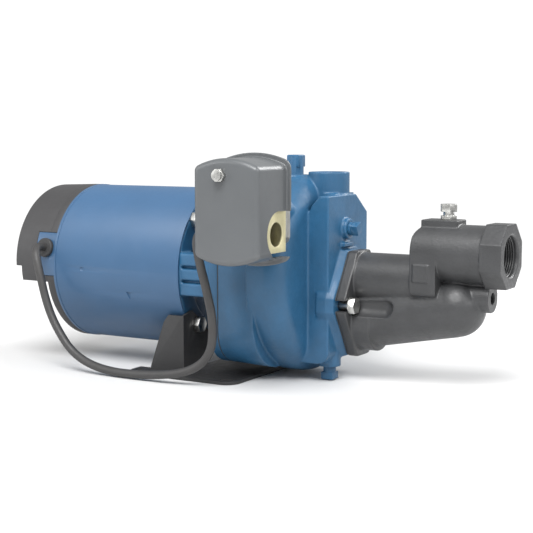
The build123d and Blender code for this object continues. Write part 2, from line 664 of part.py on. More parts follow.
def jet_outside():
    """Outer form of the jet casting."""
    jet = diamond(JET_REAR, 41, 24, 127, 14, JET_FLANGE_T)
    jet += cyl_x(JET_REAR, ELBOW_X, BARREL_R, 0, BARREL_Z) + lower_barrel()
    jet += elbow_block()
    jet += cyl_x(ELBOW_X, 286, PORT_BARREL_R, 0, PORT_Z)
    jet += block(219, 255, -12, 12, 140, 159.8)
    jet += block(218, 233, -29.2, 29.2, 102.5, 118.5)
    jet += cyl_x(250, 286.4, 13.5, 0, 88)
    place = Plane(origin=(283, 0, PORT_Z), x_dir=(0, 1, 0), z_dir=(1, 0, 0))
    across = 59.4
    collar = RegularPolygon(across / 2, 8, major_radius=False, rotation=22.5)
    return jet + extrude(place * collar, PORT_X - 283)


def jet_body():
    """Cast iron jet: suction port, elbow, venturi barrel and drive passage."""
    jet = jet_outside()
    for sign in (-1, 1):
        y = sign * JET_BOLT_Y
        jet -= cyl_x(JET_REAR - 1, JET_REAR + JET_FLANGE_T + 1, 5.4, y, JET_BOLT_Z)
        jet -= block(JET_REAR - 1, JET_REAR + JET_FLANGE_T + 1, y, sign * 45,
                     JET_BOLT_Z - 5.4, JET_BOLT_Z + 5.4)
        pocket_end = 188
        pocket = cyl_x(JET_REAR + JET_FLANGE_T, pocket_end, 10.2, sign * 29.5, JET_BOLT_Z)
        jet -= pocket + Pos(pocket_end, sign * 29.5, JET_BOLT_Z) * Sphere(10.2)
    jet -= cyl_x(JET_REAR - 1, 234, 17.5, 0, AXIS_Z)
    jet -= cyl_z(AXIS_Z, PORT_Z, 15.5, 226)
    jet -= cyl_x(226, PORT_X + 1, 16.5, 0, PORT_Z)
    jet -= cyl_x(PORT_X - 25, PORT_X + 1, PORT_HOLE_R, 0, PORT_Z)
    jet -= cone_x(PORT_X - 1.6, PORT_HOLE_R, PORT_X + 0.01, 20.6, 0, PORT_Z)
    jet -= cyl_x(233, 240, 8.0, 0, AXIS_Z)
    jet -= cyl_z(78, AXIS_Z, 8.5, 246) + Pos(246, 0, AXIS_Z - 2) * Sphere(8.5)
    jet -= cyl_x(239, 247, 8.0, 0, AXIS_Z)
    drive = cyl_x(JET_REAR - 5, 250, 13.0, 0, 57)
    tilt = math.degrees(math.atan2(20, 250 - JET_REAR))
    jet -= drive.rotate(Axis((JET_REAR, 0, 57), (0, 1, 0)), -tilt)
    jet -= cyl_x(246, 290, 5.6, 0, 88)
    return jet - cyl_z(150, 162, 4.9, 241.8)


def jet_gasket():
    """Gasket between pad and jet flange."""
    sheet = diamond(PAD_X, 40.6, 24.5, 126.5, 13.6, 1.0)
    sheet -= cyl_x(PAD_X - 1, JET_REAR + 1, 17.8, 0, AXIS_Z)
    sheet -= cyl_x(PAD_X - 1, JET_REAR + 1, 13.3, 0, 56)
    for sign in (-1, 1):
        sheet -= block(PAD_X - 1, JET_REAR + 1, sign * 24, sign * 45,
                       JET_BOLT_Z - 5.4, JET_BOLT_Z + 5.4)
    return sheet


def jet_bolts():
    """Two hex bolts that hold the jet to the pad."""
    seat = JET_REAR + JET_FLANGE_T
    bolts = []
    for y in (-JET_BOLT_Y, JET_BOLT_Y):
        head = hex_x(seat, seat + 6.4, 14.3, y, JET_BOLT_Z)
        head += cyl_x(seat, seat + 1, 8.2, y, JET_BOLT_Z)
        bolts.append(head + cyl_x(126, seat, 4.75, y, JET_BOLT_Z))
    return bolts


def venturi():
    """Plastic venturi tube from the nozzle to the impeller eye."""
    tube = cyl_x(104.5, 150, 16.9) + cone_x(150, 16.9, 206, 10.5)
    tube += cyl_x(92, 104.6, 23.4)
    tube -= cone_x(91, 17, 190, 6.0)
    return tube - cone_x(189, 6.0, 207, 8.5)


def nozzle():
    """Brass nozzle screwed into the wall behind the venturi."""
    tip = cyl_x(218, 238, 7.9) + cone_x(210, 5.0, 218, 7.9) + cyl_x(228, 233.8, 11)
    return tip - cone_x(209, 3.2, 239, 6.0)


def vent_plug():
    """Plated vent plug on the jet's top pad."""
    x, y = 241.8, 0
    plug = cyl_z(152, 160, 4.8, x, y) + hex_z(159.8, 163.6, 14, x, y)
    plug += cyl_z(163.6, 167.2, 5.2, x, y)
    head = hex_z(167.2, 174.4, 14.4, x, y)
    return plug + head


# ---------------------------------------------------------------- pressure switch
def cover_outline(grow):
    """Front outline of the cover: straight sides, bowed top and bottom."""
    half = COVER_HALF_X + grow
    low, high = COVER_LOW - grow, COVER_HIGH + grow
    left, right = SWITCH_X - half, SWITCH_X + half
    edges = Polyline((left, low + COVER_CROWN), (left, high - COVER_CROWN))
    edges += ThreePointArc((left, high - COVER_CROWN), (SWITCH_X, high),
                           (right, high - COVER_CROWN))
    edges += Line((right, high - COVER_CROWN), (right, low + COVER_CROWN))
    edges += ThreePointArc((right, low + COVER_CROWN), (SWITCH_X, low),
                           (left, low + COVER_CROWN))
    return make_face(edges)


def cover_block(grow, y_rear, y_front):
    """Solid of the cover outline between two Y planes."""
    place = Plane(origin=(0, y_rear, 0), x_dir=(1, 0, 0), z_dir=(0, -1, 0))
    slab = extrude(place * cover_outline(grow), y_rear - y_front)
    return fillet(slab.edges().filter_by(Axis.Y), 6 + grow)


def switch_cover():
    """Drawn cover of the pressure switch with conduit notches and a rear lip."""
    outer = cover_block(0, COVER_REAR, COVER_FRONT)
    outer = fillet(outer.faces().sort_by(Axis.Y)[0].edges(), 5)
    lip = cover_block(4.2, COVER_REAR, COVER_REAR - 1.6)
    inner = cover_block(-COVER_WALL, COVER_REAR + 1, COVER_FRONT + COVER_WALL)
    inner = fillet(inner.faces().sort_by(Axis.Y)[0].edges(), 3.8)
    cover = outer + lip - inner
    for sign in (-1, 1):
        x0 = SWITCH_X + sign * 25
        x1 = SWITCH_X + sign * 45
        notch = cyl_x(min(x0, x1), max(x0, x1), 21.0, CONDUIT_Y, CONDUIT_Z)
        notch += block(x0, x1, CONDUIT_Y, COVER_REAR + 2, CONDUIT_Z - 20.6, CONDUIT_Z + 20.6)
        cover -= notch
    return cover - cyl_y(COVER_FRONT - 2, COVER_FRONT + 5, 3.4, STUD_X, STUD_Z)


def cover_nut():
    """Round-topped nut that holds the cover."""
    nut = hex_y(COVER_FRONT - 3.5, COVER_FRONT, 11, STUD_X, STUD_Z)
    nut += cyl_y(COVER_FRONT - 6.5, COVER_FRONT - 3, 4.9, STUD_X, STUD_Z)
    return nut - cyl_y(COVER_FRONT - 4, COVER_FRONT + 1, 3.05, STUD_X, STUD_Z)


def switch_frame():
    """Plated steel frame: back plate and two side walls with conduit holes."""
    plate = block(SWITCH_X - 30.5, SWITCH_X + 30.5, COVER_REAR, COVER_REAR + 2.5, 133.5, 206)
    frame = plate - cyl_y(COVER_REAR - 1, COVER_REAR + 4, 14, SWITCH_X, PORT_SWITCH_Z)
    for sign in (-1, 1):
        x = SWITCH_X + sign * 30.5
        wall = block(x - sign * 1.6, x, -145, COVER_REAR + 2.5, 133.5, 172)
        wall -= cyl_x(x - 3, x + 3, CONDUIT_R, CONDUIT_Y, CONDUIT_Z)
        frame += wall
    return frame


def diaphragm_housing():
    """Lower flange of the switch with the pipe thread."""
    place = Plane(origin=(SWITCH_X, -97, PORT_SWITCH_Z), x_dir=(1, 0, 0), z_dir=(0, -1, 0))
    housing = extrude(place * RectangleRounded(56, 56, 9), 9.5)
    housing += hex_y(-97, -92, 19, SWITCH_X, PORT_SWITCH_Z)
    housing -= cyl_y(-104.6, -90, 6.9, SWITCH_X, PORT_SWITCH_Z)
    return housing - cyl_y(-107, -103, 19, SWITCH_X, PORT_SWITCH_Z)


def diaphragm():
    """Rubber diaphragm clamped between housing and frame."""
    place = Plane(origin=(SWITCH_X, -106.5, PORT_SWITCH_Z), x_dir=(1, 0, 0), z_dir=(0, -1, 0))
    return extrude(place * RectangleRounded(55, 55, 9), 3.0)


def housing_screws():
    """Four screws that clamp the diaphragm housing."""
    screws = []
    for dx in (-22, 22):
        for dz in (-22, 22):
            x, z = SWITCH_X + dx, PORT_SWITCH_Z + dz
            screws.append(hex_y(-97, -94, 7, x, z))
    return screws


def switch_nipple():
    """Quarter inch nipple from the body to the switch."""
    pipe = cyl_y(-104, -62, 6.8, SWITCH_X, PORT_SWITCH_Z)
    return pipe - cyl_y(-105, -60, 4.4, SWITCH_X, PORT_SWITCH_Z)


def plunger():
    """Piston between the diaphragm and the lever."""
    disc = cyl_y(-114.0, -109.7, 13.5, SWITCH_X, PORT_SWITCH_Z)
    return disc + cyl_y(-116.1, -113.9, 5, SWITCH_X, PORT_SWITCH_Z)


def switch_lever():
    """Lever over the plunger, pivoted near the terminals."""
    arm = block(SWITCH_X - 16, SWITCH_X + 16, -118.6, -116.6, PIVOT_Z, 205)
    arm -= cyl_y(-122, -115, 3.6, STUD_X, STUD_Z) + cyl_y(-122, -115, 3.2, SWITCH_X + 9, 196)
    arm += cyl_x(SWITCH_X - 16, SWITCH_X + 16, 2.6, PIVOT_Y, PIVOT_Z)
    return arm - cyl_x(SWITCH_X - 17, SWITCH_X + 17, 1.55, PIVOT_Y, PIVOT_Z)


def lever_pin():
    """Pivot pin of the lever, carried by the frame walls."""
    return cyl_x(SWITCH_X - 28.9, SWITCH_X + 28.9, 1.5, PIVOT_Y, PIVOT_Z)


def range_stud():
    """Main stud from the frame through the spring to the cover nut."""
    return cyl_y(COVER_FRONT - 3.9, COVER_REAR, 3.0, STUD_X, STUD_Z)


def spring_y(y0, y1, radius, wire, coils, x, z):
    """Compression spring along Y, drawn as a helix."""
    pitch = (y1 - y0 - wire) / coils
    path = Helix(pitch, y1 - y0 - wire, radius)
    start = path @ 0
    section = Plane(origin=start, z_dir=path % 0) * Circle(wire / 2)
    coil = sweep(section, path=path)
    return Plane(origin=(x, y0 + wire / 2, z), x_dir=(1, 0, 0), z_dir=(0, 1, 0)) * coil


def main_spring():
    """Range spring on the main stud."""
    return spring_y(-146, -120.6, 6.2, 1.8, 5, STUD_X, STUD_Z)


def spring_nut():
    """Adjusting nut that loads the range spring."""
    nut = hex_y(-151, -146.2, 12, STUD_X, STUD_Z)
    return nut - cyl_y(-152, -145, 3.05, STUD_X, STUD_Z)


def terminal_block():
    """Moulded terminal block with the fixed contacts."""
    body = block(SWITCH_X - 24, SWITCH_X + 24, -146, -124.5, 174, 192)
    for i in range(3):
        x = SWITCH_X - 12 + i * 12
        body -= block(x - 0.8, x + 0.8, -147, -138, 173, 193)
    body -= cyl_y(-150, -120, 8.6, STUD_X, STUD_Z)
    body += block(SWITCH_X - 24, SWITCH_X - 21, -125, COVER_REAR, 174, 192)
    return body + block(SWITCH_X + 21, SWITCH_X + 24, -125, COVER_REAR, 174, 192)


def terminal_screws():
    """Four terminal screws on the block."""
    screws = []
    for i in range(4):
        x = SWITCH_X - 18 + i * 12
        head = cyl_y(-149.5, -146, 3.6, x, 183)
        head -= block(x - 3.6, x + 3.6, -150, -148.6, 182.5, 183.5)
        screws.append(head)
    return screws


def cord_connector():
    """Clamp connector where the lead enters the switch's conduit hole."""
    wall_x = SWITCH_X - 30.5
    body = cyl_x(wall_x - 9.5, wall_x - 0.02, 13, CONDUIT_Y, CONDUIT_Z)
    body += cyl_x(wall_x - 1, wall_x + 6, CONDUIT_R - 0.1, CONDUIT_Y, CONDUIT_Z)
    body += hex_x(wall_x + 1.7, wall_x + 4.8, 24, CONDUIT_Y, CONDUIT_Z)
    return body - cyl_x(wall_x - 20, wall_x + 10, CORD_D / 2, CONDUIT_Y, CONDUIT_Z)


# ---------------------------------------------------------------- lead
def cord_radii(points):
    """Largest tangent arc at each corner: 0.45 of the shorter run over tan of half the turn."""
    radii = []
    for before, here, after in zip(points, points[1:], points[2:]):
        run_in = Vector(*here) - Vector(*before)
        run_out = Vector(*after) - Vector(*here)
        turn = math.radians(run_in.get_angle(run_out))
        radii.append(0.45 * min(run_in.length, run_out.length) / math.tan(turn / 2))
    return radii


def motor_cord():
    """Motor lead from the grommet to the switch connector, as a plain tube."""
    radii = cord_radii(CORD_ROUTE)
    path = FilletPolyline(*CORD_ROUTE, radius=radii)
    section = Plane(origin=CORD_ROUTE[0], z_dir=path % 0) * Circle(CORD_D / 2)
    tube = sweep(section, path=path)
    ideal = math.pi * (CORD_D / 2) ** 2 * path.length
    print("cord radii", [round(r, 1) for r in radii])
    print("cord length", round(path.length, 1), "volume ratio", round(tube.volume / ideal, 4))
    return tube


NODES = {
    "motor_shell": motor_shell,
    "rear_end_bell": rear_end_bell,
    "front_end_bell": front_end_bell,
    "stator_core": stator_core,
    "stator_windings": stator_windings,
    "rotor_core": rotor_core,
    "motor_shaft": motor_shaft,
    "rear_bearing": lambda: bearing(BELL_REAR + 1.5),
    "front_bearing": lambda: bearing(FACE_X - 16.5),
    "cooling_fan": cooling_fan,
    "governor": governor,
    "starting_switch": starting_switch,
    "start_capacitor": start_capacitor,
    "capacitor_strap": capacitor_strap,
    "terminal_board": terminal_board,
    "rear_canopy": rear_canopy,
    "canopy_screws": canopy_screws,
    "through_bolts": through_bolts,
    "cord_grommet": cord_grommet,
    "motor_adapter": motor_adapter,
    "adapter_bolts": adapter_bolts,
    "foot_bracket": foot_bracket,
    "slinger": slinger,
    "seal_seat": seal_seat,
    "seal_head": seal_head,
    "seal_spring": seal_spring,
    "impeller": impeller,
    "diffuser": diffuser,
    "diffuser_screws": diffuser_screws,
    "pump_body": pump_body,
    "body_gasket": body_gasket,
    "body_bolts": body_bolts,
    "priming_plug": priming_plug,
    "drain_plug": drain_plug,
    "gauge_plug": gauge_plug,
    "jet_body": jet_body,
    "jet_gasket": jet_gasket,
    "jet_bolts": jet_bolts,
    "venturi": venturi,
    "nozzle": nozzle,
    "vent_plug": vent_plug,
    "switch_cover": switch_cover,
    "cover_nut": cover_nut,
    "switch_frame": switch_frame,
    "diaphragm_housing": diaphragm_housing,
    "diaphragm": diaphragm,
    "housing_screws": housing_screws,
    "switch_nipple": switch_nipple,
    "plunger": plunger,
    "switch_lever": switch_lever,
    "lever_pin": lever_pin,
    "range_stud": range_stud,
    "main_spring": main_spring,
    "spring_nut": spring_nut,
    "terminal_block": terminal_block,
    "terminal_screws": terminal_screws,
    "cord_connector": cord_connector,
    "motor_cord": motor_cord,
}

os.makedirs("parts", exist_ok=True)
for node_name, make in NODES.items():
    made = make()
    if isinstance(made, list):
        made = Compound(children=[s for item in made for s in item.solids()])
    save(node_name, made)
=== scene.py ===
"""Looks of the shallow well jet pump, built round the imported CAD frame."""

import json
import logging
import math
from dataclasses import dataclass
from enum import Enum
from typing import Any

import bmesh
import bpy
from mathutils import Matrix, Vector

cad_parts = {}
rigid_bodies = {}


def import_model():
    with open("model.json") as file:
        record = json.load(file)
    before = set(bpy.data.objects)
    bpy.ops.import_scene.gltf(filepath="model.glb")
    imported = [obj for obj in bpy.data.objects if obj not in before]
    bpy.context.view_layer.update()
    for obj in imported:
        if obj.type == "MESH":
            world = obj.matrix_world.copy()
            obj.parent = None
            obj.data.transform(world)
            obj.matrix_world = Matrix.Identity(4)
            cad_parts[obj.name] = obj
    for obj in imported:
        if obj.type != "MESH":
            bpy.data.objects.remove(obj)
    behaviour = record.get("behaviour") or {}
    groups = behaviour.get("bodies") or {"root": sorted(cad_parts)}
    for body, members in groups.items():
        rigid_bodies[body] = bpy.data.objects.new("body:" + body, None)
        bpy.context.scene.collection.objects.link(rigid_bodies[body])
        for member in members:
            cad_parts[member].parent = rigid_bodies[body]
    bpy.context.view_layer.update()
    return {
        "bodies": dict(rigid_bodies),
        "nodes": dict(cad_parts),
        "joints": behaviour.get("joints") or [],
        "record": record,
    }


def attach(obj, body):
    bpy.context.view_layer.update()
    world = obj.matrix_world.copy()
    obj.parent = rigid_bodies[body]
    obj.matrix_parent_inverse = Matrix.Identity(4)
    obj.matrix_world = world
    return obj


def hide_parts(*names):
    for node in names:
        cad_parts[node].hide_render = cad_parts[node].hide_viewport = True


LOG = logging.getLogger("jet_pump")
MM = 0.001

Colour = tuple[float, float, float]
Point = tuple[float, float, float]


class Grain(Enum):
    """How the small surface relief of a finish is laid."""

    EVEN = (1.0, 1.0, 1.0)
    STACKED_X = (9.0, 0.4, 0.4)


class NodeBoard:
    """Small helper that adds and links shader nodes of one material."""

    MIX_FACTOR = 0
    MIX_FIRST = 6
    MIX_SECOND = 7
    MIX_COLOUR = 2

    def __init__(self, name: str) -> None:
        """Start an empty material.

        Args:
            name: Name of the material.
        """
        self.material = bpy.data.materials.new(name)
        self.material.use_nodes = True
        self.tree = self.material.node_tree
        self.tree.nodes.clear()

    def add(self, kind: str, **values: Any) -> bpy.types.Node:
        """Add a node and set its properties.

        Args:
            kind: Shader node type.
            values: Node properties by name.

        Returns:
            The new node.
        """
        node = self.tree.nodes.new(kind)
        for key, value in values.items():
            setattr(node, key, value)
        return node

    def link(self, out: bpy.types.NodeSocket, into: bpy.types.NodeSocket) -> None:
        """Link two sockets."""
        self.tree.links.new(out, into)

    def noise(self, place: bpy.types.NodeSocket, scale: float, detail: float = 3.0,
              rough: float = 0.55) -> bpy.types.NodeSocket:
        """Add a noise pattern.

        Args:
            place: Coordinates that the noise reads.
            scale: Waves per metre.
            detail: Noise octaves.
            rough: Weight of the fine octaves.

        Returns:
            The factor socket.
        """
        node = self.add("ShaderNodeTexNoise")
        node.inputs["Scale"].default_value = scale
        node.inputs["Detail"].default_value = detail
        node.inputs["Roughness"].default_value = rough
        self.link(place, node.inputs["Vector"])
        return node.outputs["Fac"]

    def spread(self, factor: bpy.types.NodeSocket, low: float, high: float,
               start: float = 0.3, end: float = 0.7) -> bpy.types.NodeSocket:
        """Map a factor to a range.

        Args:
            factor: Input factor.
            low: Value at the start.
            high: Value at the end.
            start: Factor where the range starts.
            end: Factor where the range ends.

        Returns:
            The mapped socket.
        """
        node = self.add("ShaderNodeMapRange")
        node.inputs["From Min"].default_value = start
        node.inputs["From Max"].default_value = end
        node.inputs["To Min"].default_value = low
        node.inputs["To Max"].default_value = high
        self.link(factor, node.inputs["Value"])
        return node.outputs["Result"]

    def blend(self, factor: bpy.types.NodeSocket, first: Any, second: Any) -> bpy.types.NodeSocket:
        """Mix two colours.

        Args:
            factor: Share of the second colour.
            first: Colour or socket.
            second: Colour or socket.

        Returns:
            The mixed colour socket.
        """
        node = self.add("ShaderNodeMix", data_type="RGBA")
        self.link(factor, node.inputs[self.MIX_FACTOR])
        pairs = ((node.inputs[self.MIX_FIRST], first), (node.inputs[self.MIX_SECOND], second))
        for socket, value in pairs:
            if isinstance(value, bpy.types.NodeSocket):
                self.link(value, socket)
            else:
                socket.default_value = (*value, 1.0)
        return node.outputs[self.MIX_COLOUR]

    def relief(self, height: bpy.types.NodeSocket, depth: float,
               under: bpy.types.NodeSocket | None = None) -> bpy.types.NodeSocket:
        """Add a bump node.

        Args:
            height: Height pattern.
            depth: Depth of the relief in metres.
            under: Normal of a coarser relief below.

        Returns:
            The normal socket.
        """
        node = self.add("ShaderNodeBump")
        node.inputs["Strength"].default_value = 1.0
        node.inputs["Distance"].default_value = depth
        self.link(height, node.inputs["Height"])
        if under is not None:
            self.link(under, node.inputs["Normal"])
        return node.outputs["Normal"]


def shaded(colour: Colour, gain: float) -> Colour:
    """Return a colour made lighter or darker."""
    return tuple(min(1.0, part * gain) for part in colour)


@dataclass(frozen=True)
class Finish:
    """A surface finish: colour play, roughness play and two scales of relief."""

    name: str
    colour: Colour
    metal: float = 0.0
    rough: tuple[float, float] = (0.4, 0.5)
    tone: tuple[float, float] = (0.9, 1.08)
    tone_scale: float = 28.0
    patch_ratio: float = 6.0
    speckle: float = 0.0
    speckle_scale: float = 900.0
    speckle_shade: float = 0.45
    speckle_band: tuple[float, float] = (0.56, 0.70)
    wave_scale: float = 120.0
    wave_depth: float = 0.0
    grit_scale: float = 1400.0
    grit_depth: float = 0.00002
    coat: float = 0.0
    coat_rough: float = 0.2
    grain: Grain = Grain.EVEN

    def build(self) -> bpy.types.Material:
        """Make the material.

        Returns:
            The new material.
        """
        board = NodeBoard(self.name)
        place = board.add("ShaderNodeTexCoord").outputs["Object"]
        stretch = board.add("ShaderNodeMapping")
        stretch.inputs["Scale"].default_value = self.grain.value
        board.link(place, stretch.inputs["Vector"])
        laid = stretch.outputs["Vector"]
        broad = board.noise(place, self.tone_scale, detail=4.0, rough=0.6)
        body = board.blend(board.spread(broad, 0.0, 1.0), shaded(self.colour, self.tone[0]),
                           shaded(self.colour, self.tone[1]))
        if self.speckle > 0.0:
            fine = board.noise(laid, self.speckle_scale, detail=2.0, rough=0.7)
            dots = board.spread(fine, 0.0, self.speckle, *self.speckle_band)
            body = board.blend(dots, body, shaded(self.colour, self.speckle_shade))
        shader = board.add("ShaderNodeBsdfPrincipled")
        board.link(body, shader.inputs["Base Color"])
        shader.inputs["Metallic"].default_value = self.metal
        shader.inputs["Coat Weight"].default_value = self.coat
        shader.inputs["Coat Roughness"].default_value = self.coat_rough
        patch_scale = self.tone_scale * self.patch_ratio
        patch = board.noise(laid, patch_scale, detail=4.0, rough=0.6)
        board.link(board.spread(patch, *self.rough), shader.inputs["Roughness"])
        normal = None
        if self.wave_depth > 0.0:
            waves = board.noise(laid, self.wave_scale)
            normal = board.relief(waves, self.wave_depth)
        grit = board.noise(laid, self.grit_scale, rough=0.6)
        normal = board.relief(grit, self.grit_depth, normal)
        board.link(normal, shader.inputs["Normal"])
        out = board.add("ShaderNodeOutputMaterial")
        board.link(shader.outputs["BSDF"], out.inputs["Surface"])
        return board.material


class Palette:
    """Every finish of the pump, each built once."""

    FINISHES: tuple[Finish, ...] = (
        Finish("blue_sheet_paint", (0.036, 0.094, 0.186), rough=(0.36, 0.46), tone=(0.95, 1.05),
               tone_scale=14.0, wave_scale=45.0, wave_depth=0.00006, grit_scale=900.0,
               grit_depth=0.000012, coat=0.12, coat_rough=0.22),
        Finish("blue_cast_paint", (0.018, 0.088, 0.180), rough=(0.36, 0.52), tone=(0.86, 1.12),
               tone_scale=34.0, speckle=0.12, speckle_scale=700.0, wave_scale=260.0,
               wave_depth=0.00022, grit_scale=1100.0, grit_depth=0.00006, coat=0.04,
               coat_rough=0.3),
        Finish("charcoal_paint", (0.038, 0.0375, 0.039), rough=(0.5, 0.6), tone=(0.92, 1.06),
               tone_scale=22.0, wave_scale=60.0, wave_depth=0.00004, grit_scale=1800.0,
               grit_depth=0.00002),
        Finish("bracket_paint", (0.021, 0.021, 0.022), rough=(0.42, 0.56), tone=(0.88, 1.1),
               tone_scale=30.0, wave_scale=80.0, wave_depth=0.00005, grit_scale=1500.0,
               grit_depth=0.00002),
        Finish("black_cast_paint", (0.037, 0.038, 0.040), rough=(0.38, 0.56), tone=(0.82, 1.15),
               tone_scale=40.0, speckle=0.25, speckle_scale=620.0, wave_scale=300.0,
               wave_depth=0.00026, grit_scale=1000.0, grit_depth=0.00008, coat=0.15,
               coat_rough=0.32),
        Finish("grey_cover_paint", (0.088, 0.094, 0.099), rough=(0.34, 0.44), tone=(0.95, 1.05),
               tone_scale=18.0, wave_scale=40.0, wave_depth=0.00006, grit_scale=1600.0,
               grit_depth=0.000012, coat=0.3, coat_rough=0.2),
        Finish("zinc_plate", (0.56, 0.56, 0.54), 1.0, rough=(0.26, 0.42), tone=(0.85, 1.1),
               tone_scale=90.0, speckle=0.15, grit_scale=2600.0, grit_depth=0.00002),
        Finish("yellow_zinc", (0.66, 0.61, 0.38), 0.45, rough=(0.3, 0.48), tone=(0.8, 1.15),
               tone_scale=55.0, speckle=0.1, grit_scale=1500.0, grit_depth=0.00001),
        Finish("turned_steel", (0.50, 0.50, 0.51), 1.0, rough=(0.2, 0.34), tone=(0.92, 1.06),
               tone_scale=60.0, grit_scale=3000.0, grit_depth=0.000015, grain=Grain.STACKED_X),
        Finish("stacked_steel", (0.24, 0.25, 0.27), 1.0, rough=(0.4, 0.6), tone=(0.8, 1.15),
               tone_scale=70.0, wave_scale=260.0, wave_depth=0.0001, grit_scale=1500.0,
               grit_depth=0.00004, grain=Grain.STACKED_X),
        Finish("copper_wire", (0.62, 0.25, 0.09), 0.8, rough=(0.3, 0.45), tone=(0.75, 1.2),
               tone_scale=60.0, wave_scale=300.0, wave_depth=0.0004, grit_scale=1200.0,
               grit_depth=0.00008),
        Finish("turned_brass", (0.68, 0.47, 0.19), 1.0, rough=(0.22, 0.36), tone=(0.9, 1.08),
               tone_scale=80.0, grit_scale=2500.0, grit_depth=0.000012),
        Finish("black_rubber", (0.030, 0.030, 0.031), rough=(0.55, 0.7), tone=(0.8, 1.25),
               tone_scale=60.0, grit_scale=1600.0, grit_depth=0.00003),
        Finish("cord_jacket", (0.040, 0.039, 0.039), rough=(0.42, 0.56), tone=(0.88, 1.12),
               tone_scale=50.0, wave_scale=220.0, wave_depth=0.00008, grit_scale=1800.0,
               grit_depth=0.00002),
        Finish("moulded_plastic", (0.035, 0.035, 0.037), rough=(0.4, 0.5), tone=(0.9, 1.12),
               tone_scale=40.0, grit_scale=2200.0, grit_depth=0.00002),
        Finish("glazed_ceramic", (0.78, 0.75, 0.68), rough=(0.12, 0.2), tone=(0.96, 1.03),
               tone_scale=60.0, grit_scale=1500.0, grit_depth=0.000005),
        Finish("pressed_fibre", (0.050, 0.052, 0.055), rough=(0.75, 0.9), tone=(0.8, 1.2),
               tone_scale=120.0, speckle=0.3, grit_scale=1500.0, grit_depth=0.00006),
    )

    def __init__(self) -> None:
        """Build all finishes."""
        self.materials = {finish.name: finish.build() for finish in self.FINISHES}

    def get(self, name: str) -> bpy.types.Material:
        """Return a finish's material by name."""
        return self.materials[name]


